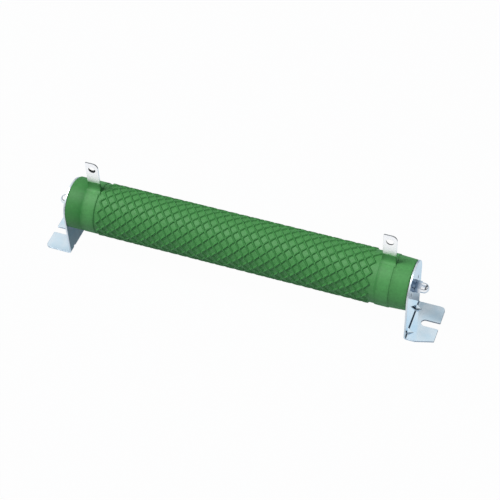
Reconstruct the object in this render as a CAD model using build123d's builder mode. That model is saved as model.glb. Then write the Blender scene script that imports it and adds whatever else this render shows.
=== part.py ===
from build123d import *
import math
import os

os.makedirs("parts", exist_ok=True)

# Corrugated wirewound resistor: a coated ceramic tube with a crimped resistance ribbon wound on
# edge around it, a terminal band near each end, and two footed brackets that one rod draws
# against the tube's ends. X runs along the tube, Z is up, and the feet stand on z = 0.

# Tube, radii over its coating
tube_length = 330.0
axis_height = 48.8
bore_radius = 15.0
body_radius = 24.0
left_rim_rise = 0.6  # of the left collar over the body's radius
right_shoulder_rise = 0.2  # of the right collar, at its inner edge
right_rim_drop = 0.6  # of the right collar, at the tube's end
rim_rounding = 1.0
bore_chamfer = 1.0

# Terminal bands
band_inset = 16.3  # from the tube's end to the band's outer edge
band_width = 12.6
strip_thickness = 0.6
lug_height = 33.0  # above the tube's surface
lug_hole_radius = 3.5
lug_hole_drop = 7.7  # from the lug's top to the hole's centre
lug_large_corner = 5.0
lug_small_corner = 1.0
lug_fold_radius = 1.2

# Resistance ribbon
ribbon_pitch = 5.03
waves_per_turn = 14.54
ribbon_height = 1.35
ribbon_thickness = 0.65
crest_gap = 0.3  # between the crests of neighbouring turns
winding_start_angle = -118.3  # of the first fold, from +Y towards +Z, in degrees
left_winding_inset = 30.7  # from the tube's end to the first crest
right_winding_inset = 36.0
seat_gap = 0.03  # under the middle of each flat, and beside the bands

# Brackets
gasket_thickness = 0.5
gasket_inset = 2.0  # from the body's radius
plate_thickness = 1.6
bracket_width = 47.0
foot_length = 25.5  # from the plate's outer face
bend_radius = 1.2
foot_slot_width = 7.5
foot_slot_depth = 17.0
foot_rear_corner = 4.5
foot_cut_length = 17.0  # the oblique cut along the foot's other edge
foot_cut_width = 5.0
foot_small_corner = 0.8
dart_offset = 14.5
dart_reach = 5.5
dart_half_width = 2.6
tab_width = 4.5
tab_length = 4.3
tab_clearance = 0.45

# Rod, washers and cap nuts
rod_diameter = 6.0
rod_clearance = 0.3
thread_clearance = 0.04
rod_depth_in_nut = 8.0
washer_diameter = 12.0
washer_thickness = 1.2
nut_width = 10.0
nut_hex_height = 5.0
nut_height = 12.0
nut_dome_diameter = 9.5
nut_bore_depth = 9.0
edge_break = 0.4

# Derived places
tube_end = tube_length / 2
left_rim_radius = body_radius + left_rim_rise
right_shoulder_radius = body_radius + right_shoulder_rise
right_rim_radius = body_radius - right_rim_drop
gasket_radius = body_radius - gasket_inset
band_outer_edge = tube_end - band_inset
band_inner_edge = band_outer_edge - band_width
band_centre = (band_outer_edge + band_inner_edge) / 2
plate_inner = tube_end + gasket_thickness
plate_outer = plate_inner + plate_thickness
foot_end = plate_outer + foot_length
nut_seat = plate_outer + washer_thickness
rod_end = nut_seat + rod_depth_in_nut
half_width = bracket_width / 2


def end_plane(out, distance):
    """The plane square to the tube's axis at one end, facing out, with its y upwards."""
    return Plane(origin=(out * distance, 0, axis_height), x_dir=(0, out, 0), z_dir=(out, 0, 0))


def save(sub_part, name):
    sub_part.part.label = name
    export_step(sub_part.part, f"parts/{name}.step")


# Ceramic tube: one turned profile, stepped down where the bands and the winding lie
axis_line = Axis((0, 0, axis_height), (1, 0, 0))
with BuildPart() as ceramic_tube:
    with BuildSketch(Plane(origin=(0, 0, axis_height), x_dir=(1, 0, 0), z_dir=(0, -1, 0))) as profile:
        with BuildLine():
            Polyline(
                (-tube_end, bore_radius),
                (-tube_end, left_rim_radius),
                (-band_outer_edge, left_rim_radius),
                (-band_outer_edge, body_radius),
                (band_outer_edge, body_radius),
                (band_outer_edge, right_shoulder_radius),
                (tube_end, right_rim_radius),
                (tube_end, bore_radius),
                close=True,
            )
        make_face()
        for side in (0, -1):
            end_corners = profile.vertices().group_by(Axis.X)[side].sort_by(Axis.Y)
            fillet(end_corners[-1], rim_rounding)
            end_corners = profile.vertices().group_by(Axis.X)[side].sort_by(Axis.Y)
            chamfer(end_corners[0], bore_chamfer)
    revolve(axis=axis_line)
save(ceramic_tube, "ceramic_tube")

# Terminal bands: a strip round the tube with both its ends folded up against each other
for side, out in (("left", -1), ("right", 1)):
    centre = out * band_centre
    with BuildPart() as terminal_band:
        with BuildSketch(Plane(origin=(centre, 0, axis_height), x_dir=(0, 1, 0), z_dir=(1, 0, 0))):
            Circle(body_radius + strip_thickness)
            with Locations((0, body_radius + lug_height / 2)):
                Rectangle(2 * strip_thickness, lug_height)
            Circle(body_radius, mode=Mode.SUBTRACT)
        extrude(amount=band_width / 2, both=True)
        fold_height = axis_height + body_radius + 2 * strip_thickness
        fold_edges = terminal_band.edges().filter_by(Axis.X).filter_by_position(
            Axis.Z, axis_height + body_radius, fold_height
        )
        fillet(fold_edges.sort_by(Axis.Z)[-2:], lug_fold_radius)
        top_corners = terminal_band.edges().filter_by(Axis.Y).group_by(Axis.Z)[-1].sort_by(Axis.X)
        fillet(top_corners[-1], lug_large_corner)
        top_corners = terminal_band.edges().filter_by(Axis.Y).group_by(Axis.Z)[-1].sort_by(Axis.X)
        fillet(top_corners[0], lug_small_corner)
        hole_height = axis_height + body_radius + lug_height - lug_hole_drop
        with BuildSketch(Plane(origin=(centre, 0, hole_height), x_dir=(1, 0, 0), z_dir=(0, -1, 0))):
            Circle(lug_hole_radius)
        extrude(amount=2 * strip_thickness, both=True, mode=Mode.SUBTRACT)
    save(terminal_band, f"terminal_band_{side}")

# Resistance ribbon: flat walls between sharp folds. Each fold is a cut through the strip along
# X. It leans out along X as it rises, and tilts a little along the turn, by just the amounts that
# keep every wall flat while the helix advances.
step_angle = math.pi / waves_per_turn
step_advance = ribbon_pitch / waves_per_turn / 2
root_radius = (body_radius + seat_gap) / math.cos(step_angle / 2)
half_wave_arc = root_radius * step_angle
crest_reach = (ribbon_pitch - crest_gap) / 2 * root_radius / (root_radius + ribbon_height)
half_thickness = ribbon_thickness / 2
slant = 1 - (ribbon_thickness / half_wave_arc) ** 2
wave_height = (
    crest_reach - math.sqrt(crest_reach**2 - slant * (crest_reach**2 - half_thickness**2))
) / slant
half_cut = crest_reach - wave_height
advance_ratio = step_advance / 2 / wave_height
lean = wave_height * (1 - advance_ratio**2) / root_radius
tilt = advance_ratio * math.tan(step_angle / 2)
winding_travel = tube_length - left_winding_inset - right_winding_inset - 2 * crest_reach
step_count = int(winding_travel / step_advance)
start_angle = math.radians(winding_start_angle)


def fold(along, turn, fold_lean, fold_tilt):
    """The four corners of one cut through the strip: inner low x, inner high x, outer high x,
    outer low x."""
    radial = Vector(0, math.cos(turn), math.sin(turn))
    forward = Vector(0, math.sin(turn), -math.cos(turn))
    inner = Vector(along, 0, axis_height) + radial * root_radius
    outer = inner + (Vector(fold_lean, 0, 0) + radial + forward * fold_tilt) * ribbon_height
    across = Vector(half_cut, 0, 0)
    return [inner - across, inner + across, outer + across, outer - across]


first_centre = left_winding_inset + crest_reach - tube_end
lead_reach = band_inner_edge - half_cut - seat_gap
folds = [fold(-lead_reach, start_angle + step_angle, 0, 0)]
for step in range(step_count + 1):
    crest = 1 if step % 2 else -1
    along = first_centre + step * step_advance + crest * wave_height
    turn = start_angle - step * step_angle
    folds.append(fold(along, turn, crest * lean, -crest * tilt))
folds.append(fold(lead_reach, start_angle - (step_count + 1) * step_angle, 0, 0))


def facet(*corners):
    return Face(Wire.make_polygon(corners))


facets = [facet(*folds[0][::-1]), facet(*folds[-1])]
for index in range(len(folds) - 1):
    here, there = folds[index], folds[index + 1]
    is_lead = index == 0 or index == len(folds) - 2
    for corner in range(4):
        following = (corner + 1) % 4
        a, b, c, d = here[corner], here[following], there[following], there[corner]
        # The lead out to a band is twisted, so each of its walls is two triangles
        if is_lead and corner in (1, 3):
            facets += [facet(a, b, c), facet(a, c, d)]
        else:
            facets.append(facet(a, b, c, d))

with BuildPart() as resistance_ribbon:
    add(Solid(Shell(facets)))
save(resistance_ribbon, "resistance_ribbon")

# Through rod
with BuildPart() as through_rod:
    with BuildSketch(end_plane(1, 0)):
        Circle(rod_diameter / 2)
    extrude(amount=rod_end, both=True)
    chamfer(through_rod.edges().filter_by(GeomType.CIRCLE), edge_break)
save(through_rod, "through_rod")

# The same stack at each end, the left one turned half round the vertical
for side, out in (("left", -1), ("right", 1)):
    # End gasket
    with BuildPart() as end_gasket:
        with BuildSketch(end_plane(out, tube_end)):
            Circle(gasket_radius)
            Circle(bore_radius, mode=Mode.SUBTRACT)
        extrude(amount=gasket_thickness)
    save(end_gasket, f"end_gasket_{side}")

    # Mounting bracket: plate and foot from one bent strip
    upright = Plane(origin=(0, 0, 0), x_dir=(out, 0, 0), z_dir=(0, -out, 0))
    ground = Plane(origin=(0, 0, 0), x_dir=(out, 0, 0), z_dir=(0, 0, 1))
    plate_top = axis_height + half_width
    with BuildPart() as mounting_bracket:
        with BuildSketch(upright) as section:
            with BuildLine():
                Polyline(
                    (plate_inner, 0),
                    (foot_end, 0),
                    (foot_end, plate_thickness),
                    (plate_outer, plate_thickness),
                    (plate_outer, plate_top),
                    (plate_inner, plate_top),
                    close=True,
                )
            make_face()
            outer_corner = section.vertices().group_by(Axis.X)[0].sort_by(Axis.Y)[0]
            fillet(outer_corner, bend_radius + plate_thickness)
            inner_corner = section.vertices().sort_by_distance((plate_outer, plate_thickness))[0]
            fillet(inner_corner, bend_radius)
        extrude(amount=half_width, both=True)
        with BuildSketch(end_plane(out, plate_inner)):
            Circle(half_width)
            with Locations((0, -axis_height / 2)):
                Rectangle(bracket_width, axis_height)
        extrude(amount=plate_thickness + foot_length, mode=Mode.INTERSECT)

        # Stiffening darts: a ridge pressed into the bend's hollow side, with its dent behind
        dent_reach = dart_reach + plate_thickness * (2 - math.sqrt(2))
        for across in (-dart_offset, dart_offset):
            for corner_x, corner_z, reach, mode in (
                (plate_outer, plate_thickness, dart_reach, Mode.ADD),
                (plate_inner, 0, dent_reach, Mode.SUBTRACT),
            ):
                dart_plane = upright.offset(-across)
                spread = dart_half_width * reach / dart_reach
                with BuildSketch(dart_plane, mode=Mode.PRIVATE) as dart_section:
                    with BuildLine():
                        Polyline(
                            (corner_x, corner_z),
                            (corner_x + reach, corner_z),
                            (corner_x, corner_z + reach),
                            close=True,
                        )
                    make_face()
                for tip in (-spread, spread):
                    apex = dart_plane.offset(tip).from_local_coords(Vector(corner_x, corner_z, 0))
                    loft([dart_section.sketch.face(), Vertex(*apex)], mode=mode)

        # Lanced tabs that sit inside the bore, and the holes they leave
        tab_outer = math.sqrt((bore_radius - tab_clearance) ** 2 - (tab_width / 2) ** 2)
        with BuildSketch(end_plane(out, plate_outer)):
            with Locations(*[(turn * (tab_outer - tab_length / 2), 0) for turn in (-1, 1)]):
                Rectangle(tab_length, tab_width)
        extrude(amount=-plate_thickness, mode=Mode.SUBTRACT)
        with BuildSketch(end_plane(out, plate_outer)):
            with Locations(*[(turn * (tab_outer - plate_thickness / 2), 0) for turn in (-1, 1)]):
                Rectangle(plate_thickness, tab_width)
        extrude(amount=-plate_thickness - tab_length)

        # Rod hole
        with BuildSketch(end_plane(out, plate_inner)):
            Circle(rod_diameter / 2 + rod_clearance)
        extrude(amount=plate_thickness, mode=Mode.SUBTRACT)

        # Foot outline: open slot, oblique cut and corners
        slot_centre = foot_end - foot_slot_depth + foot_slot_width / 2
        with BuildSketch(ground):
            with Locations((slot_centre, 0)):
                Circle(foot_slot_width / 2)
            with Locations(((slot_centre + foot_end) / 2, 0)):
                Rectangle(foot_end - slot_centre, foot_slot_width)
            with BuildLine():
                Polyline(
                    (foot_end - foot_cut_length, -half_width),
                    (foot_end, -half_width),
                    (foot_end, foot_cut_width - half_width),
                    close=True,
                )
            make_face()
        extrude(amount=plate_thickness, mode=Mode.SUBTRACT)
        upright_edges = mounting_bracket.edges().filter_by(Axis.Z)
        end_edges = upright_edges.filter_by_position(Axis.X, out * foot_end - 0.1, out * foot_end + 0.1)
        fillet(end_edges.sort_by(Axis.Y)[0 if out < 0 else -1], foot_rear_corner)
        upright_edges = mounting_bracket.edges().filter_by(Axis.Z)
        end_edges = upright_edges.filter_by_position(Axis.X, out * foot_end - 0.1, out * foot_end + 0.1)
        small_edges = end_edges.sort_by(Axis.Y)[1:] if out < 0 else end_edges.sort_by(Axis.Y)[:-1]
        fillet(small_edges, foot_small_corner)
    save(mounting_bracket, f"mounting_bracket_{side}")

    # Flat washer
    with BuildPart() as flat_washer:
        with BuildSketch(end_plane(out, plate_outer)):
            Circle(washer_diameter / 2)
            Circle(rod_diameter / 2 + rod_clearance, mode=Mode.SUBTRACT)
        extrude(amount=washer_thickness)
    save(flat_washer, f"flat_washer_{side}")

    # Cap nut: hexagon, neck and dome over a blind thread
    with BuildPart() as cap_nut:
        with BuildSketch(end_plane(out, nut_seat)):
            RegularPolygon(nut_width / 2, 6, major_radius=False, rotation=30)
        extrude(amount=nut_hex_height)
        nut_corner = nut_width / math.sqrt(3)
        hex_bevel = (nut_corner - nut_width / 2) * math.tan(math.radians(30))
        nut_plane = Plane(origin=(out * nut_seat, 0, axis_height), x_dir=(out, 0, 0), z_dir=(0, -out, 0))
        with BuildSketch(nut_plane):
            with BuildLine():
                Polyline(
                    (0, 0),
                    (0, nut_width / 2),
                    (hex_bevel, nut_corner),
                    (nut_hex_height - hex_bevel, nut_corner),
                    (nut_hex_height, nut_width / 2),
                    (nut_hex_height, 0),
                    close=True,
                )
            make_face()
        revolve(axis=axis_line, mode=Mode.INTERSECT)
        dome_radius = nut_dome_diameter / 2
        with BuildSketch(nut_plane):
            with BuildLine():
                Polyline(
                    (nut_height - dome_radius, dome_radius),
                    (nut_hex_height, dome_radius),
                    (nut_hex_height, 0),
                    (nut_height, 0),
                )
                RadiusArc(
                    (nut_height, 0),
                    (nut_height - dome_radius, dome_radius),
                    -dome_radius,
                )
            make_face()
        revolve(axis=axis_line)
        with BuildSketch(end_plane(out, nut_seat)):
            Circle(rod_diameter / 2 + thread_clearance)
        extrude(amount=nut_bore_depth, mode=Mode.SUBTRACT)
    save(cap_nut, f"cap_nut_{side}")
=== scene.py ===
import math

import bmesh
import bpy
from mathutils import Matrix, Vector


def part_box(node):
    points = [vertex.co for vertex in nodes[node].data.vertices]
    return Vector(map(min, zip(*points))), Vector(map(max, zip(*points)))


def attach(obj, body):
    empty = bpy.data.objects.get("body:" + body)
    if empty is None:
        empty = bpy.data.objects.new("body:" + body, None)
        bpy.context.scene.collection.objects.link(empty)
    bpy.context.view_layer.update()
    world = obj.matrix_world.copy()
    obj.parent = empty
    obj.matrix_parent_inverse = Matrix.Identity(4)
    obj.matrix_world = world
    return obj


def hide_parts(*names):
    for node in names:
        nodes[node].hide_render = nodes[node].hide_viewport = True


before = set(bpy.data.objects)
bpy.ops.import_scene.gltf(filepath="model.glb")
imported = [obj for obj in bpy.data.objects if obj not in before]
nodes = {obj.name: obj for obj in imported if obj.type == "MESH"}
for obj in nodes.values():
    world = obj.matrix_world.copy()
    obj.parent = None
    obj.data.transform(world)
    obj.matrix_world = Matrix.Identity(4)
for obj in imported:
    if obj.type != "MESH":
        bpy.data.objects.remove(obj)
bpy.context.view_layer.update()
scene = bpy.context.scene
mm = 0.001  # every size below is in millimetres, Blender's own unit is the metre

# Places that the frame gives
tubeLow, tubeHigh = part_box("ceramic_tube")
axisHeight = (tubeLow.z + tubeHigh.z) / 2
tubeEnd = tubeHigh.x
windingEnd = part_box("resistance_ribbon")[1].x
bandLow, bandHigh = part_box("terminal_band_right")
bandCentre = (bandLow.x + bandHigh.x) / 2
bandHalf = (bandHigh.x - bandLow.x) / 2
for node in nodes.values():
    node.select_set(False)
print("frame loaded:", len(nodes), "CAD nodes")


# Small helpers

def srgb(hexText):
    channels = [int(hexText[place:place + 2], 16) / 255 for place in (1, 3, 5)]
    linear = [c / 12.92 if c <= 0.04045 else ((c + 0.055) / 1.055) ** 2.4 for c in channels]
    return (*linear, 1.0)


def grey(level):
    # the hex colour whose linear value is this level
    tone = 12.92 * level if level <= 0.0031308 else 1.055 * level ** (1 / 2.4) - 0.055
    return "#" + f"{round(255 * tone):02x}" * 3


def addNode(tree, kind, settings=None, links=None):
    node = tree.nodes.new(kind)
    for name, value in (settings or {}).items():
        if isinstance(name, int) or name in node.inputs:
            node.inputs[name].default_value = value
        else:
            setattr(node, name, value)
    for name, source in (links or {}).items():
        tree.links.new(source, node.inputs[name])
    return node


def newMaterial(name):
    material = bpy.data.materials.new(name)
    material.use_nodes = True
    tree = material.node_tree
    shader = tree.nodes["Principled BSDF"]
    return material, tree, shader


def setRamp(node, stops):
    ramp = node.color_ramp
    while len(ramp.elements) < len(stops):
        ramp.elements.new(0.5)
    for element, (position, colour) in zip(ramp.elements, stops):
        element.position = position
        element.color = srgb(colour)
    return node


def deselectAll():
    if bpy.context.object and bpy.context.object.mode != "OBJECT":
        bpy.ops.object.mode_set(mode="OBJECT")
    bpy.ops.object.select_all(action="DESELECT")


def activate(piece):
    deselectAll()
    piece.select_set(True)
    bpy.context.view_layer.objects.active = piece


def applyAll(piece):
    activate(piece)
    for modifier in list(piece.modifiers):
        bpy.ops.object.modifier_apply(modifier=modifier.name)


def wear(piece, material):
    piece.data.materials.clear()
    piece.data.materials.append(material)


def triangles(piece):
    return sum(len(face.vertices) - 2 for face in piece.data.polygons)


def finishNode(piece, name):
    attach(piece, "root")
    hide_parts(name)
    print(piece.name, triangles(piece), "triangles")


def drawLoop(name, points):
    # a plane merged to one vertex walks along the points and leaves an edge behind it
    deselectAll()
    bpy.ops.mesh.primitive_plane_add(size=mm, location=points[0])
    piece = bpy.context.object
    piece.name = name
    bpy.ops.object.transform_apply(location=True)
    bpy.ops.object.mode_set(mode="EDIT")
    bpy.ops.mesh.select_all(action="SELECT")
    bpy.ops.mesh.merge(type="CENTER")
    for here, there in zip(points, points[1:]):
        step = Vector(there) - Vector(here)
        bpy.ops.mesh.extrude_vertices_move(TRANSFORM_OT_translate={"value": step})
    bpy.ops.mesh.select_all(action="SELECT")
    mesh = bmesh.from_edit_mesh(piece.data)
    mesh.verts.ensure_lookup_table()
    mesh.edges.new((mesh.verts[-1], mesh.verts[0])).select = True
    bmesh.update_edit_mesh(piece.data)
    return piece


def pickOpenEnd(piece, out):
    # the open end of a swept piece, on the left where out is -1 and on the right where it is 1
    mesh = bmesh.from_edit_mesh(piece.data)
    bpy.ops.mesh.select_mode(type="VERT")
    bpy.ops.mesh.select_all(action="DESELECT")
    for vert in mesh.verts:
        if vert.is_boundary and vert.co.x * out > 0:
            vert.select = True
    mesh.select_flush(True)
    bmesh.update_edit_mesh(piece.data)


# Camera, at the photo's angle and distance

cameraView = {
    "azimuth": 22.074,
    "elevation": 47.555,
    "roll": -2.656,
    "place": (355.77, -851.68, 1046.50),
    "lens": 106.46,
    "sensor": 36.0,
    "nearest": 0.01,  # metres
    "farthest": 50.0,
}
cameraData = bpy.data.cameras.new("photoCamera")
cameraData.lens = cameraView["lens"]
cameraData.sensor_width = cameraView["sensor"]
cameraData.clip_start = cameraView["nearest"]
cameraData.clip_end = cameraView["farthest"]
camera = bpy.data.objects.new("photoCamera", cameraData)
scene.collection.objects.link(camera)
camera.location = Vector(cameraView["place"]) * mm
camera.rotation_euler = (
    Matrix.Rotation(math.radians(cameraView["azimuth"]), 3, "Z")
    @ Matrix.Rotation(math.radians(90 - cameraView["elevation"]), 3, "X")
    @ Matrix.Rotation(math.radians(cameraView["roll"]), 3, "Z")
).to_euler()
scene.camera = camera
scene.view_settings.view_transform = "Standard"
print("camera placed")


# Baked silicone coating: satin green enamel with a fine orange peel. Its tone holds painted light and
# shade:
# lighter over the bands, darker along the left collar, in the grooves beside the bands and on the
# ribbon.

coating = {
    "paintedLightTone": "#55a256",
    "base": "#4f964f",
    "paintedShadeTone": "#297830",
    "roughness": 0.6,
    "ior": 1.46,
    "peelSize": 1.6,
    "peelHeight": 0.12,
    "peelStrength": 0.5,
    "patchSize": 2.6,
    "patchRoughness": 0.65,
    "patchRange": (0.3, 0.7),  # of the noise
    "patchDepth": 0.12,  # lighter and darker by this share
    # Painted light and shade along the tube, in mm from its middle: 1 is the lightest, 0.5 the usual
    # coat and 0 the darkest. The dips at the bands' edges are painted shade in the grooves there
    "tubePaintedLightAndShade": [(-165, 0.2), (-160, 0.26), (-152, 0.12), (-149.2, 0.02), (-147.5, 0.35),
                     (-142, 0.68), (-137.5, 0.6), (-136, 0.15), (-134, 0.5), (134.8, 0.5), (136.2, 0.05),
                     (137.8, 0.6), (140, 0.85), (145, 0.9), (148.4, 0.75), (149.2, 0.2), (150.5, 0.7),
                     (161, 0.95), (164, 0.6)],
    # The same on the ribbon, at its root and at its edge, by the distance from the axis: painted shade,
    # darkest at the edge
    "ridgePaintedShade": [(24.0, 0.35), (25.5, 0.27)],
}


def makeCoating(name, onRidge):
    # the coat's painted light and shade follows the tube's length, or on the ribbon the distance from
    # the axis
    material, tree, shader = newMaterial(name)
    place = addNode(tree, "ShaderNodeTexCoord").outputs["Object"]
    if not onRidge:
        # painted light and shade along the tube: dark in the grooves at the bands' edges, lighter over
        # the bands
        along = addNode(tree, "ShaderNodeSeparateXYZ", None, {0: place})
        stops = coating["tubePaintedLightAndShade"]
        low, high = stops[0][0], stops[-1][0]
        share = addNode(tree, "ShaderNodeMapRange", {"From Min": low * mm, "From Max": high * mm},
                        {"Value": along.outputs["X"]})
        amount = setRamp(addNode(tree, "ShaderNodeValToRGB", None, {"Fac": share.outputs[0]}),
                         [((stop - low) / (high - low), grey(value)) for stop, value in stops])
        paintedShading = amount.outputs["Color"]
    else:
        # on the ribbon, a painted shade by height, darker than the tube's coat and darkest at the edge
        onAxis = addNode(tree, "ShaderNodeMapping", {"Location": (0, 0, -axisHeight)}, {"Vector": place})
        across = addNode(tree, "ShaderNodeVectorMath", {"operation": "MULTIPLY", 1: (0, 1, 1)},
                         {0: onAxis.outputs[0]})
        radius = addNode(tree, "ShaderNodeVectorMath", {"operation": "LENGTH"}, {0: across.outputs[0]})
        (root, rootPaintedShade), (edge, edgePaintedShade) = coating["ridgePaintedShade"]
        height = addNode(tree, "ShaderNodeMapRange",
                         {"From Min": root * mm, "From Max": edge * mm,
                          "To Min": rootPaintedShade, "To Max": edgePaintedShade},
                         {"Value": radius.outputs["Value"]})
        paintedShading = height.outputs[0]
    # from painted shade through the usual coat to painted light
    coatTone = setRamp(addNode(tree, "ShaderNodeValToRGB", None, {"Fac": paintedShading}),
                       [(0.0, coating["paintedShadeTone"]), (0.5, coating["base"]), (1.0, coating["paintedLightTone"])])
    patches = addNode(tree, "ShaderNodeTexNoise",
                      {"Scale": 1 / (coating["patchSize"] * mm), "Detail": 5.0,
                       "Roughness": coating["patchRoughness"]}, {"Vector": place})
    patchLow, patchHigh = coating["patchRange"]
    patchTone = addNode(tree, "ShaderNodeMapRange",
                        {"From Min": patchLow, "From Max": patchHigh,
                         "To Min": 1 - coating["patchDepth"], "To Max": 1 + coating["patchDepth"]},
                        {"Value": patches.outputs["Fac"]})
    tone = addNode(tree, "ShaderNodeHueSaturation", None,
                   {"Color": coatTone.outputs["Color"], "Value": patchTone.outputs[0]})
    tree.links.new(tone.outputs[0], shader.inputs["Base Color"])
    peel = addNode(tree, "ShaderNodeTexNoise",
                   {"Scale": 1 / (coating["peelSize"] * mm), "Detail": 2.0}, {"Vector": place})
    bump = addNode(tree, "ShaderNodeBump",
                   {"Strength": coating["peelStrength"], "Distance": coating["peelHeight"] * mm},
                   {"Height": peel.outputs["Fac"]})
    tree.links.new(bump.outputs[0], shader.inputs["Normal"])
    shader.inputs["Roughness"].default_value = coating["roughness"]
    shader.inputs["IOR"].default_value = coating["ior"]
    return material


# The tube's coat holds painted light and shade along the tube, the ribbon's a painted shade on the
# ridges
tubeCoatingWithPaintedLightAndShade = makeCoating("siliconeCoatWithPaintedLightAndShade", onRidge=False)
ridgeCoatingWithPaintedShade = makeCoating("siliconeCoatOnRibbonWithPaintedShade", onRidge=True)


# The other finishes. Each has two tones in soft clouds, a fine grain and, on thin sheet, slow waves
# that bend what it mirrors. The real grain is too fine to show, so it is drawn coarser. Sizes are in mm.

finishes = {
    # bright blue zinc plate on cold-rolled sheet: a cold mirror, slightly cloudy
    "zincPlate": {"light": "#e3eef6", "dark": "#c9e3f3", "roughness": 0.09, "cloudSize": 14.0,
                  "grainWidth": 0.5, "waveLength": 22.0, "waveDepth": 0.12},
    # the same plate on a sheared edge, which is torn and so duller
    "shearedEdge": {"light": "#dde4ea", "dark": "#c8d3dc", "roughness": 0.4, "cloudSize": 2.0,
                    "grainWidth": 0.3},
    # and darker grey round the foot
    "footEdge": {"light": "#b6c0ca", "dark": "#a3afbb", "roughness": 0.45, "cloudSize": 2.0,
                 "grainWidth": 0.3},
    # dip-tinned steel strip: white and soft in gloss
    "tinnedSteel": {"light": "#fdfdff", "dark": "#f6f7fb", "roughness": 0.24, "cloudSize": 6.0,
                    "grainWidth": 0.5},
    # the strip's punched edge, bare grey steel
    "punchedEdge": {"light": "#8b8f92", "dark": "#74787c", "roughness": 0.45, "cloudSize": 1.5,
                    "grainWidth": 0.25},
    # the wall of its punched hole, painted dark as shade in the hole
    "paintedHoleShade": {"light": "#2a2c2f", "dark": "#1e2022", "roughness": 0.6, "cloudSize": 1.0,
                     "grainWidth": 0.25},
    # bright nickel plate, mirror bright on the dome; towards the washer and the hexagon its tone is a
    # painted dark reflection
    "nickelPlate": {"light": "#f4f5f7", "dark": "#e6e9ee", "roughness": 0.12, "cloudSize": 5.0,
                    "grainWidth": 0.4, "paintedDarkReflection": "#748396", "darkReflectionFrom": 169.6, "brightFrom": 173.8},
    # pressed mica board: straw coloured, matt
    "micaBoard": {"light": "#cfc7b0", "dark": "#b8ad92", "roughness": 0.6, "cloudSize": 2.0,
                  "grainWidth": 0.4, "metallic": 0.0},
    # fired steatite: off-white, matt, seen in the bore and on the end faces
    "bareCeramic": {"light": "#ece8de", "dark": "#ddd8cb", "roughness": 0.55, "cloudSize": 3.0,
                    "grainWidth": 0.3, "metallic": 0.0},
}
surface = {
    "grainStrength": 0.15,
    "grainDepth": 0.01,
    "roughnessSpread": 0.2,  # rougher and smoother by this share
}


def makeFinish(name, settings):
    material, tree, shader = newMaterial(name)
    place = addNode(tree, "ShaderNodeTexCoord").outputs["Object"]
    clouds = addNode(tree, "ShaderNodeTexNoise",
                     {"Scale": 1 / (settings["cloudSize"] * mm), "Detail": 3.0}, {"Vector": place})
    cloudTone = setRamp(addNode(tree, "ShaderNodeValToRGB", None, {"Fac": clouds.outputs["Fac"]}),
                        [(0.3, settings["dark"]), (0.7, settings["light"])])
    tone = cloudTone.outputs["Color"]
    # a painted dark reflection, full nearer the tube's middle and gone towards the dome's end
    if "paintedDarkReflection" in settings:
        along = addNode(tree, "ShaderNodeSeparateXYZ", None, {0: place})
        outward = addNode(tree, "ShaderNodeMath", {"operation": "ABSOLUTE"}, {0: along.outputs["X"]})
        darkReflectionShare = addNode(tree, "ShaderNodeMapRange",
                            {"From Min": settings["brightFrom"] * mm,
                             "From Max": settings["darkReflectionFrom"] * mm}, {"Value": outward.outputs[0]})
        withDarkReflection = addNode(tree, "ShaderNodeMix", {"data_type": "RGBA", "B": srgb(settings["paintedDarkReflection"])},
                         {"Factor": darkReflectionShare.outputs[0], "A": tone})
        tone = withDarkReflection.outputs["Result"]
    tree.links.new(tone, shader.inputs["Base Color"])
    roughness = addNode(tree, "ShaderNodeMapRange",
                        {"To Min": settings["roughness"] * (1 - surface["roughnessSpread"]),
                         "To Max": settings["roughness"] * (1 + surface["roughnessSpread"])},
                        {"Value": clouds.outputs["Fac"]})
    tree.links.new(roughness.outputs[0], shader.inputs["Roughness"])
    grain = addNode(tree, "ShaderNodeTexNoise",
                    {"Scale": 1 / (settings["grainWidth"] * mm), "Detail": 2.0}, {"Vector": place})
    bump = addNode(tree, "ShaderNodeBump",
                   {"Strength": surface["grainStrength"], "Distance": surface["grainDepth"] * mm},
                   {"Height": grain.outputs["Fac"]})
    if "waveLength" in settings:
        waves = addNode(tree, "ShaderNodeTexNoise",
                        {"Scale": 1 / (settings["waveLength"] * mm), "Detail": 0.0}, {"Vector": place})
        bump = addNode(tree, "ShaderNodeBump",
                       {"Strength": 1.0, "Distance": settings["waveDepth"] * mm},
                       {"Height": waves.outputs["Fac"], "Normal": bump.outputs[0]})
    tree.links.new(bump.outputs[0], shader.inputs["Normal"])
    shader.inputs["Metallic"].default_value = settings.get("metallic", 1.0)
    return material


zincPlate = makeFinish("blueZincPlatedSteel", finishes["zincPlate"])
tinnedSteel = makeFinish("tinnedSteelStrip", finishes["tinnedSteel"])
punchedEdge = makeFinish("punchedSteelEdge", finishes["punchedEdge"])
shearedEdge = makeFinish("zincOnShearedEdge", finishes["shearedEdge"])
footEdge = makeFinish("greyZincOnFootEdge", finishes["footEdge"])
paintedHoleShade = makeFinish("paintedShadeOnPunchedWall", finishes["paintedHoleShade"])
nickelPlate = makeFinish("brightNickelPlate", finishes["nickelPlate"])
micaBoard = makeFinish("pressedMicaBoard", finishes["micaBoard"])
bareCeramic = makeFinish("bareSteatiteCeramic", finishes["bareCeramic"])

# The gaskets are board, and the rod, washers and cap nuts are nickel plated. The other nodes are
# replaced further down.
for name, node in nodes.items():
    wear(node, micaBoard if name.startswith("end_gasket") else nickelPlate)
print("materials made")


# Ribbon winding: one wave of the coated ribbon swept step by step, then arrayed round and along the tube

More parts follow.
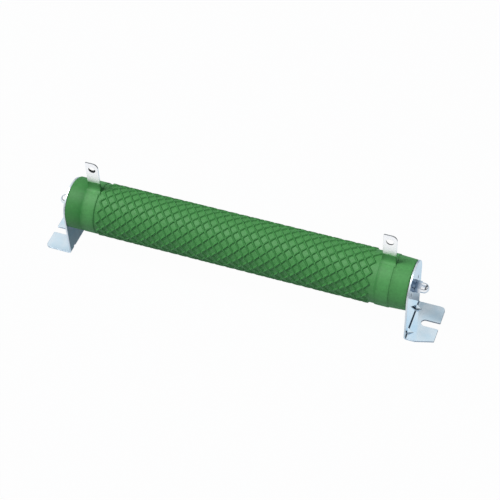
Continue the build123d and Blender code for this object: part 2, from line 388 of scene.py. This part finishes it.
winding = {
    "pitch": 5.03,
    "wavesPerTurn": 14.54,
    "waveCount": 748,  # nearly 51 and a half turns
    "firstCrest": -132.04,  # middle of the first wave, along the tube
    "startTurn": -118.3,  # from +Y towards +Z, degrees
    "driftStart": 75.0,  # from here to the end the turns are wound a little wider
    "driftReach": 2.1,
    "driftTurn": 7.0,  # degrees
    "waveReach": 2.1,  # from the wave's middle to the ribbon's centre at a crest
    "crestSharpness": 0.95,  # 1 is a pointed zigzag, small is a sine
    "stepsPerWave": 10,
    "rootRadius": 24.0,
    # the coated ridge's section: across the ribbon, and above the root
    "section": [(-2.1, -0.1), (-1.5, 0.1), (-1.08, 0.4), (-0.72, 0.86), (-0.42, 1.17), (0, 1.3),
                (0.42, 1.17), (0.72, 0.86), (1.08, 0.4), (1.5, 0.1), (2.1, -0.1)],
    "leadSteps": 3,
    "leadTurn": 2,  # each lead step turns by this many steps of a wave
    "mergeDistance": 0.02,
    "smoothBelow": 50.0,  # degrees
}
stepAngle = 2 * math.pi / winding["wavesPerTurn"] / winding["stepsPerWave"]
stepAdvance = winding["pitch"] / winding["wavesPerTurn"] / winding["stepsPerWave"]
waveAngle = stepAngle * winding["stepsPerWave"]
waveAdvance = stepAdvance * winding["stepsPerWave"]
windingStart = winding["firstCrest"]


def waveOffset(step):
    roundness = winding["crestSharpness"]
    phase = 2 * math.pi * step / winding["stepsPerWave"]
    return -winding["waveReach"] * math.asin(roundness * math.cos(phase)) / math.asin(roundness)


axisPoint = Vector((0, 0, axisHeight))
startTurn = math.radians(winding["startTurn"])
startRadial = Vector((0, math.cos(startTurn), math.sin(startTurn)))
sectionPoints = [
    axisPoint + Vector(((windingStart + waveOffset(0) + across) * mm, 0, 0))
    + startRadial * (winding["rootRadius"] + height) * mm
    for across, height in winding["section"]
]
ribbonWinding = drawLoop("ribbonWinding", sectionPoints)


def sweepStep(advance, angle):
    # pushes the open end on along the tube and turns it round the tube's axis
    bpy.ops.mesh.extrude_edges_move(TRANSFORM_OT_translate={"value": (advance * mm, 0, 0)})
    bpy.ops.transform.rotate(value=angle, orient_axis="X", center_override=axisPoint)


for step in range(winding["stepsPerWave"]):
    sweepStep(stepAdvance + waveOffset(step + 1) - waveOffset(step), stepAngle)
bpy.ops.object.mode_set(mode="OBJECT")
activate(ribbonWinding)
print("one wave swept:", len(ribbonWinding.data.vertices), "points")

scene.cursor.location = axisPoint
bpy.ops.object.origin_set(type="ORIGIN_CURSOR")
nextWave = bpy.data.objects.new("nextWave", None)
scene.collection.objects.link(nextWave)
nextWave.location = axisPoint + Vector((waveAdvance * mm, 0, 0))
nextWave.rotation_euler = (-waveAngle, 0, 0)
bpy.context.view_layer.update()
array = ribbonWinding.modifiers.new("waves", "ARRAY")
array.count = winding["waveCount"]
array.use_relative_offset = False
array.use_object_offset = True
array.offset_object = nextWave
array.use_merge_vertices = True
array.merge_threshold = winding["mergeDistance"] * mm
applyAll(ribbonWinding)
bpy.data.objects.remove(nextWave)
bpy.ops.object.transform_apply(location=True, rotation=True, scale=True)

# The last turns drift along the tube and round it, which starts and ends gently
lastCrest = windingStart + winding["waveCount"] * waveAdvance
for vert in ribbonWinding.data.vertices:
    share = (vert.co.x / mm - winding["driftStart"]) / (lastCrest - winding["driftStart"])
    share = min(max(share, 0), 1)
    share = share * share * (3 - 2 * share)
    turned = Matrix.Rotation(math.radians(winding["driftTurn"]) * share, 3, "X") @ (vert.co - axisPoint)
    vert.co = axisPoint + turned + Vector((winding["driftReach"] * share * mm, 0, 0))
lastCrest += winding["driftReach"]

# Each open end leads on to the end of the winding and is closed there
bpy.ops.object.mode_set(mode="EDIT")
for out, crest in ((-1, windingStart), (1, lastCrest)):
    leadStep = (windingEnd / mm - winding["section"][-1][0]
                - out * crest + out * winding["waveReach"]) / winding["leadSteps"]
    pickOpenEnd(ribbonWinding, out)
    for step in range(winding["leadSteps"]):
        sweepStep(out * leadStep, out * stepAngle * winding["leadTurn"])
    bpy.ops.mesh.edge_face_add()
bpy.ops.mesh.select_all(action="SELECT")
bpy.ops.mesh.normals_make_consistent(inside=False)
bpy.ops.object.mode_set(mode="OBJECT")
bpy.ops.object.shade_smooth_by_angle(angle=math.radians(winding["smoothBelow"]))
wear(ribbonWinding, ridgeCoatingWithPaintedShade)
finishNode(ribbonWinding, "resistance_ribbon")


# Coated tube: one outline turned about the axis, thicker where the coat covers the bands

tubeCoat = {
    "body": 24.02,  # radii
    "band": 24.7,
    "leftRim": 24.6,
    "leftSeam": 24.26,  # where the coat thins beside the left band
    "rightShoulder": 24.2,
    "rightRim": 23.45,
    "bore": 15.0,
    "boreChamfer": 1.0,
    "rimRounding": 1.1,
    "rimSteps": 5,
    "turnSteps": 144,
    "mergeDistance": 0.01,
    "smoothBelow": 60.0,  # degrees
    # The coat at each edge of the bands: along the tube from that edge, the radius that the height
    # is measured from, and the height
    "leftBandOutside": [(-4.6, "leftRim", 0), (-3.2, "leftRim", -0.04), (-1.6, "leftSeam", 0.17),
                        (-0.5, "leftSeam", 0), (-0.25, "leftSeam", 0.05), (-0.06, "band", -0.1),
                        (0.3, "band", -0.02), (0.8, "band", 0)],
    "leftBandInside": [(-0.6, "band", 0), (-0.15, "band", -0.03), (0.05, "band", -0.1),
                       (0.14, "body", 0.25), (0.3, "body", 0.06), (0.8, "body", 0)],
    "rightBandInside": [(-1.6, "body", 0), (-1.0, "body", 0.06), (-0.5, "body", 0.25),
                        (-0.15, "band", -0.12), (0.3, "band", -0.03), (0.9, "band", 0)],
    "rightBandOutside": [(-0.8, "band", 0), (-0.3, "band", -0.02), (0.05, "band", -0.1),
                         (0.16, "rightShoulder", 0.06), (0.5, "rightShoulder", 0)],
}


def rimArc(out, radius):
    rounding = tubeCoat["rimRounding"]
    arc = []
    for step in range(tubeCoat["rimSteps"] + 1):
        angle = math.radians(90 * step / tubeCoat["rimSteps"])
        arc.append((out * (tubeEnd / mm - rounding + rounding * math.cos(angle)),
                    radius - rounding + rounding * math.sin(angle)))
    return arc


def tubeOutline():
    # from the left end of the bore, over the outside, to its right end
    end = tubeEnd / mm
    outer = (bandCentre + bandHalf) / mm
    inner = (bandCentre - bandHalf) / mm
    bore, chamfer = tubeCoat["bore"], tubeCoat["boreChamfer"]
    points = [(-end + chamfer, bore), (-end, bore + chamfer)]
    points += rimArc(-1, tubeCoat["leftRim"])
    for bandEdge, steps in ((-outer, "leftBandOutside"), (-inner, "leftBandInside"),
                            (inner, "rightBandInside"), (outer, "rightBandOutside")):
        points += [(bandEdge + along, tubeCoat[radius] + height)
                   for along, radius, height in tubeCoat[steps]]
    points += rimArc(1, tubeCoat["rightRim"])[::-1]
    points += [(end, bore + chamfer), (end - chamfer, bore)]
    return points


outline = [(along * mm, 0, axisHeight + radius * mm) for along, radius in tubeOutline()]
coatedTube = drawLoop("coatedTube", outline)
bpy.ops.mesh.spin(steps=tubeCoat["turnSteps"], angle=2 * math.pi, center=axisPoint, axis=(1, 0, 0))
bpy.ops.mesh.select_all(action="SELECT")
bpy.ops.mesh.remove_doubles(threshold=tubeCoat["mergeDistance"] * mm)
bpy.ops.mesh.normals_make_consistent(inside=False)
bpy.ops.object.mode_set(mode="OBJECT")
bpy.ops.object.shade_smooth_by_angle(angle=math.radians(tubeCoat["smoothBelow"]))
wear(coatedTube, tubeCoatingWithPaintedLightAndShade)
coatedTube.data.materials.append(bareCeramic)
# The bore and the end faces inside the rims are bare
for face in coatedTube.data.polygons:
    fromAxis = math.hypot(face.center.y, face.center.z - axisHeight)
    if fromAxis < (tubeCoat["rightRim"] - tubeCoat["rimRounding"]) * mm:
        face.material_index = 1
finishNode(coatedTube, "ceramic_tube")


# Lug coat: the coating climbs the foot of each lug, with a soft flare and an uneven top edge

lugCoat = {
    "levels": [  # above the axis, half length along the tube, half thickness
        (23.6, 7.6, 5.4), (24.42, 7.3, 4.6), (24.75, 7.05, 3.7), (25.2, 6.85, 2.75), (25.9, 6.7, 2.0),
        (26.9, 6.58, 1.45), (28.2, 6.5, 1.1), (30.0, 6.45, 0.88), (31.6, 6.42, 0.76), (32.7, 6.42, 0.73),
        (33.0, 6.37, 0.67), (33.1, 6.2, 0.55)],
    "cuts": 7,
    "cornerRounding": 0.25,
    "cornerSteps": 3,
    "sharpAbove": 50.0,  # degrees
    "wanderZone": 3.0,  # the top edge wanders up and down over this height
    "wander": 0.45,
    "longRipple": 0.9,  # radians per mm along the lug
    "longShare": 0.5,
    "shortRipple": 1.7,
    "shortStart": 2.0,
    "shortShare": 0.3,
    "throughRipple": 9.0,  # radians per mm through the lug, whose front and back differ
}

for side, out in (("Left", -1), ("Right", 1)):
    levels = lugCoat["levels"]
    footHeight, halfLength, halfThickness = levels[0]
    centre = Vector((out * bandCentre, 0, axisHeight))
    deselectAll()
    bpy.ops.mesh.primitive_plane_add(size=2, location=centre + Vector((0, 0, footHeight * mm)))
    coat = bpy.context.object
    coat.name = "lugCoat" + side
    coat.scale = (halfLength * mm, halfThickness * mm, 1)
    bpy.ops.object.transform_apply(location=True, rotation=True, scale=True)
    bpy.ops.object.mode_set(mode="EDIT")
    bpy.ops.mesh.select_all(action="SELECT")
    bpy.ops.mesh.subdivide(number_cuts=lugCoat["cuts"])
    for here, there in zip(levels, levels[1:]):
        bpy.ops.mesh.extrude_region_move(
            TRANSFORM_OT_translate={"value": (0, 0, (there[0] - here[0]) * mm)})
        bpy.ops.transform.resize(value=(there[1] / here[1], there[2] / here[2], 1),
                                 center_override=centre)
    bpy.ops.mesh.select_all(action="SELECT")
    bpy.ops.mesh.normals_make_consistent(inside=False)
    bpy.ops.object.mode_set(mode="OBJECT")
    bevel = coat.modifiers.new("softCorners", "BEVEL")
    bevel.width = lugCoat["cornerRounding"] * mm
    bevel.segments = lugCoat["cornerSteps"]
    bevel.angle_limit = math.radians(lugCoat["sharpAbove"])
    applyAll(coat)
    top = axisHeight + levels[-1][0] * mm
    for vert in coat.data.vertices:
        share = max(0, 1 - (top - vert.co.z) / (lugCoat["wanderZone"] * mm))
        along, across = (vert.co.x - centre.x) / mm, vert.co.y / mm
        longWave = math.sin(lugCoat["longRipple"] * along + out)
        shortWave = math.sin(lugCoat["shortRipple"] * along + lugCoat["shortStart"]
                             + lugCoat["throughRipple"] * across)
        rise = lugCoat["longShare"] * longWave + lugCoat["shortShare"] * shortWave
        vert.co.z += share * lugCoat["wander"] * rise * mm
    bpy.ops.object.shade_smooth_by_angle(angle=math.radians(lugCoat["sharpAbove"]))
    wear(coat, tubeCoatingWithPaintedLightAndShade)
    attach(coat, "root")
    print(coat.name, triangles(coat), "triangles")


# Brackets and terminal strips: the CAD forms with their edges broken and their cut edges duller

edges = {
    "bracketBreak": 0.16,
    "lugBreak": 0.12,
    "breakSegments": 2,
    "breakAbove": 28.0,  # degrees between the faces at an edge that gets broken
    "smoothBelow": 40.0,  # degrees
    "flatWithin": 0.4,  # degrees, for facets that make one flat face
    "flatWeight": 90,
    "mergeDistance": 0.002,
    "rimFrom": 23.1,  # the bracket's sheared rim, from its middle line or from the axis
    "footFrom": 174.5,  # its foot, along the tube
    "footEdgeTo": 2.2,  # height of the foot's own edges
    "sheetFacing": 0.95,  # a face that looks more than this along x or z is the sheet, not its edge
    "lugFrom": 30.0,  # the bare part of the lug, above the axis
    "lugFacing": 0.5,  # a lug's face that looks less than this along y is a cut edge
    "holeHeight": 98.1,
    "holeRadius": 3.7,  # with its broken edge
    "holeFacing": 0.75,
    "skewReach": 4.1,  # how far from the hole's middle the far ply of the left lug is out of place
    "skew": (-0.3, 0, 2.0),
}


def softenNode(name, pieceName, width, material):
    # a copy of a CAD piece with its sharp edges broken, as tumbling or plating leaves them
    piece = nodes[name].copy()
    piece.data = nodes[name].data.copy()
    piece.name = pieceName
    piece.parent = None
    for key in list(piece.keys()):  # the node's own notes
        del piece[key]
    scene.collection.objects.link(piece)
    activate(piece)
    bpy.ops.object.mode_set(mode="EDIT")
    bpy.ops.mesh.select_all(action="SELECT")
    bpy.ops.mesh.remove_doubles(threshold=edges["mergeDistance"] * mm)
    bpy.ops.mesh.dissolve_limited(angle_limit=math.radians(edges["flatWithin"]))
    bpy.ops.object.mode_set(mode="OBJECT")
    bevel = piece.modifiers.new("brokenEdges", "BEVEL")
    bevel.width = width * mm
    bevel.segments = edges["breakSegments"]
    bevel.limit_method = "ANGLE"
    bevel.angle_limit = math.radians(edges["breakAbove"])
    applyAll(piece)
    bpy.ops.object.shade_smooth_by_angle(angle=math.radians(edges["smoothBelow"]))
    flat = piece.modifiers.new("flatFaces", "WEIGHTED_NORMAL")
    flat.keep_sharp = True
    flat.weight = edges["flatWeight"]
    applyAll(piece)
    wear(piece, material)
    finishNode(piece, name)
    return piece


def dullBracketEdges(bracket):
    # sheared edges are duller than the sheet, and darker grey round the foot
    bracket.data.materials.append(shearedEdge)
    bracket.data.materials.append(footEdge)
    for face in bracket.data.polygons:
        spread = math.hypot(face.center.y, max(face.center.z - axisHeight, 0))
        offX = abs(face.normal.x) < edges["sheetFacing"]
        offZ = abs(face.normal.z) < edges["sheetFacing"]
        atRim = spread > edges["rimFrom"] * mm and offX and (offZ or face.center.z > axisHeight)
        atFootEnd = abs(face.center.x) > edges["footFrom"] * mm and offZ
        if atRim or atFootEnd:
            face.material_index = 2 if face.center.z < edges["footEdgeTo"] * mm else 1


def fromHole(place, hole):
    return math.hypot(place.x - hole.x, place.z - hole.z)


def dullStripEdges(strip, hole):
    # cut edges are bare of tin, and the wall of the hole is painted dark as painted shade
    strip.data.materials.append(punchedEdge)
    strip.data.materials.append(paintedHoleShade)
    for face in strip.data.polygons:
        sideways = abs(face.normal.y)
        # painted shade on the hole's wall
        if sideways < edges["holeFacing"] and fromHole(face.center, hole) < edges["holeRadius"] * mm:
            face.material_index = 2
        elif sideways < edges["lugFacing"] and face.center.z > axisHeight + edges["lugFrom"] * mm:
            face.material_index = 1


for side, out in (("left", -1), ("right", 1)):
    dullBracketEdges(softenNode("mounting_bracket_" + side, "footBracket" + side.title(),
                                edges["bracketBreak"], zincPlate))
    strip = softenNode("terminal_band_" + side, "terminalStrip" + side.title(),
                       edges["lugBreak"], tinnedSteel)
    hole = Vector((out * bandCentre, 0, edges["holeHeight"] * mm))
    dullStripEdges(strip, hole)
    if side == "left":
        # The two plies of this lug lie askew, so that the far one, with its painted shade, shows inside
        # the hole
        for vert in strip.data.vertices:
            if vert.co.y > 0 and fromHole(vert.co, hole) < edges["skewReach"] * mm:
                vert.co += Vector(edges["skew"]) * mm


# Pale floor, white surroundings and one soft studio lamp

studio = {
    "floorSize": 12.0,  # metres
    "floorTone": "#9aa2b0",
    "whiteShare": 0.98,  # how far what the camera sees of the floor is lifted to white
    "mirroredShare": 0.06,  # the same for the floor's reflection in metal
    "mirroredTone": "#d9eaf4",
    "mirroredFront": 0.95,  # and for the floor in front, a painted glow that shows only in reflections
    "frontFrom": -16.0,
    "frontTo": -52.0,
    "mirroredBeside": 0.34,  # and past the tube's ends, a weaker painted glow seen only in reflections
    "besideFrom": 160.0,
    "besideTo": 182.0,
    "ambientStrength": 0.385,
    "shadeDirection": (-0.3, 1.0, 0.2),  # the surroundings are darkest there
    "ambientTones": [(0.0, "#eef4ff"), (0.5, "#c4d0e2"), (1.0, "#7c8ca4")],  # from away to towards it
    # what metal mirrors, by height: a dark skirting, white walls and a greyer ceiling
    "skyTones": [(0.0, "#aab4be"), (0.07, "#3c4652"), (0.2, "#46505c"), (0.27, "#ffffff"),
                 (0.78, "#ffffff"), (0.9, "#dde6ee"), (1.0, "#9aa8b8")],
    # the right wall is darker, with a white card on it that shows in the right nut
    "wallTones": [(0.62, "#ffffff"), (0.8, "#4c545e")],
    "cardDirection": (0.96, 0.05, 0.12),
    "cardTones": [(0.86, "#000000"), (0.91, "#ffffff")],
    # a grey beam under the ceiling, by height, and where it ends towards the right
    "beamTones": [(0.73, "#ffffff"), (0.743, "#6c7a80"), (0.758, "#87939b"), (0.77, "#ffffff")],
    "beamEnd": [(0.48, "#000000"), (0.53, "#ffffff")],
    "lampPower": 190.0,  # watts
    "lampSize": 1.6,  # metres, as its place
    "lampPlace": (-1.95, -0.95, 4.65),
}

deselectAll()
bpy.ops.mesh.primitive_plane_add(size=studio["floorSize"], location=(0, 0, 0))
floor = bpy.context.object
floor.name = "studioFloor"
floorPaint = bpy.data.materials.new("paleFloor")
floorPaint.use_nodes = True
tree = floorPaint.node_tree
tree.nodes.clear()
path = addNode(tree, "ShaderNodeLightPath")
seen = addNode(tree, "ShaderNodeMath", {"operation": "MULTIPLY", 1: studio["whiteShare"]},
               {0: path.outputs["Is Camera Ray"]})
floorPlace = addNode(tree, "ShaderNodeSeparateXYZ", None,
                     {0: addNode(tree, "ShaderNodeTexCoord").outputs["Object"]})
# painted glow seen only in reflections: stronger on the floor in front and past the tube's ends
frontShare = addNode(tree, "ShaderNodeMapRange",
                     {"From Min": studio["frontFrom"] * mm, "From Max": studio["frontTo"] * mm,
                      "To Min": studio["mirroredShare"], "To Max": studio["mirroredFront"]},
                     {"Value": floorPlace.outputs["Y"]})
sideways = addNode(tree, "ShaderNodeMath", {"operation": "ABSOLUTE"}, {0: floorPlace.outputs["X"]})
besideShare = addNode(tree, "ShaderNodeMapRange",
                      {"From Min": studio["besideFrom"] * mm, "From Max": studio["besideTo"] * mm,
                       "To Max": studio["mirroredBeside"]}, {"Value": sideways.outputs[0]})
mirroredShare = addNode(tree, "ShaderNodeMath", {"operation": "MAXIMUM"},
                        {0: frontShare.outputs[0], 1: besideShare.outputs[0]})
mirrored = addNode(tree, "ShaderNodeMath", {"operation": "MULTIPLY_ADD"},
                   {0: path.outputs["Is Glossy Ray"], 1: mirroredShare.outputs[0], 2: seen.outputs[0]})
share = addNode(tree, "ShaderNodeMath",
                {"operation": "MULTIPLY_ADD", 1: studio["whiteShare"], "use_clamp": True},
                {0: path.outputs["Is Transmission Ray"], 2: mirrored.outputs[0]})
paintTone = addNode(tree, "ShaderNodeMix",
                    {"data_type": "RGBA", "A": srgb(studio["floorTone"]),
                     "B": srgb(studio["mirroredTone"])},
                    {"Factor": path.outputs["Is Glossy Ray"]})
paint = addNode(tree, "ShaderNodeBsdfDiffuse", None, {"Color": paintTone.outputs["Result"]})
glow = addNode(tree, "ShaderNodeEmission", {"Color": (1, 1, 1, 1), "Strength": 1.0})
mixed = addNode(tree, "ShaderNodeMixShader", None,
                {0: share.outputs[0], 1: paint.outputs[0], 2: glow.outputs[0]})
addNode(tree, "ShaderNodeOutputMaterial", None, {"Surface": mixed.outputs[0]})
wear(floor, floorPaint)

world = bpy.data.worlds.new("studioWorld")
scene.world = world
world.use_nodes = True
tree = world.node_tree
tree.nodes.clear()
path = addNode(tree, "ShaderNodeLightPath")
worldPlace = addNode(tree, "ShaderNodeTexCoord")
direction = addNode(tree, "ShaderNodeSeparateXYZ", None, {0: worldPlace.outputs["Generated"]})


def nearness(aim):
    # how near each direction is to this one, from -1 to 1
    dot = addNode(tree, "ShaderNodeVectorMath",
                  {"operation": "DOT_PRODUCT", 1: Vector(aim).normalized()},
                  {0: worldPlace.outputs["Generated"]})
    return dot.outputs["Value"]


# Soft light from all round, a little less of it from the back
shadeShare = addNode(tree, "ShaderNodeMapRange", {"From Min": -1.0},
                     {"Value": nearness(studio["shadeDirection"])})
ambientTone = setRamp(addNode(tree, "ShaderNodeValToRGB", None, {"Fac": shadeShare.outputs[0]}),
                      studio["ambientTones"])
ambient = addNode(tree, "ShaderNodeBackground", {"Strength": studio["ambientStrength"]},
                  {"Color": ambientTone.outputs["Color"]})
# What metal mirrors
skyTone = setRamp(addNode(tree, "ShaderNodeValToRGB", None, {"Fac": direction.outputs["Z"]}),
                  studio["skyTones"])
cardTone = setRamp(addNode(tree, "ShaderNodeValToRGB", None, {"Fac": nearness(studio["cardDirection"])}),
                   studio["cardTones"])
rightward = addNode(tree, "ShaderNodeMapRange", {"From Min": -1.0}, {"Value": direction.outputs["X"]})
wallTone = setRamp(addNode(tree, "ShaderNodeValToRGB", None, {"Fac": rightward.outputs[0]}),
                   studio["wallTones"])
wallWithCard = addNode(tree, "ShaderNodeVectorMath", {"operation": "MAXIMUM"},
                       {0: wallTone.outputs["Color"], 1: cardTone.outputs["Color"]})
beamTone = setRamp(addNode(tree, "ShaderNodeValToRGB", None, {"Fac": direction.outputs["Z"]}),
                   studio["beamTones"])
beamEnd = setRamp(addNode(tree, "ShaderNodeValToRGB", None, {"Fac": rightward.outputs[0]}),
                  studio["beamEnd"])
beam = addNode(tree, "ShaderNodeVectorMath", {"operation": "MAXIMUM"},
               {0: beamTone.outputs["Color"], 1: beamEnd.outputs["Color"]})
skyWithBeam = addNode(tree, "ShaderNodeVectorMath", {"operation": "MULTIPLY"},
                      {0: skyTone.outputs["Color"], 1: beam.outputs[0]})
mirrorTone = addNode(tree, "ShaderNodeVectorMath", {"operation": "MULTIPLY"},
                     {0: skyWithBeam.outputs[0], 1: wallWithCard.outputs[0]})
sky = addNode(tree, "ShaderNodeBackground", None, {"Color": mirrorTone.outputs[0]})
white = addNode(tree, "ShaderNodeBackground", {"Color": (1, 1, 1, 1), "Strength": 1.0})
mirror = addNode(tree, "ShaderNodeMixShader", None,
                 {0: path.outputs["Is Glossy Ray"], 1: ambient.outputs[0], 2: sky.outputs[0]})
clear = addNode(tree, "ShaderNodeMath", {"operation": "MAXIMUM"},
                {0: path.outputs["Is Camera Ray"], 1: path.outputs["Is Transmission Ray"]})
mixed = addNode(tree, "ShaderNodeMixShader", None,
                {0: clear.outputs[0], 1: mirror.outputs[0], 2: white.outputs[0]})
addNode(tree, "ShaderNodeOutputWorld", None, {"Surface": mixed.outputs[0]})

lampData = bpy.data.lights.new("keyLamp", "AREA")
lampData.energy = studio["lampPower"]
lampData.size = studio["lampSize"]
lamp = bpy.data.objects.new("keyLamp", lampData)
scene.collection.objects.link(lamp)
lamp.location = studio["lampPlace"]
lamp.rotation_euler = (axisPoint - lamp.location).to_track_quat("-Z", "Y").to_euler()
print("studio lit")
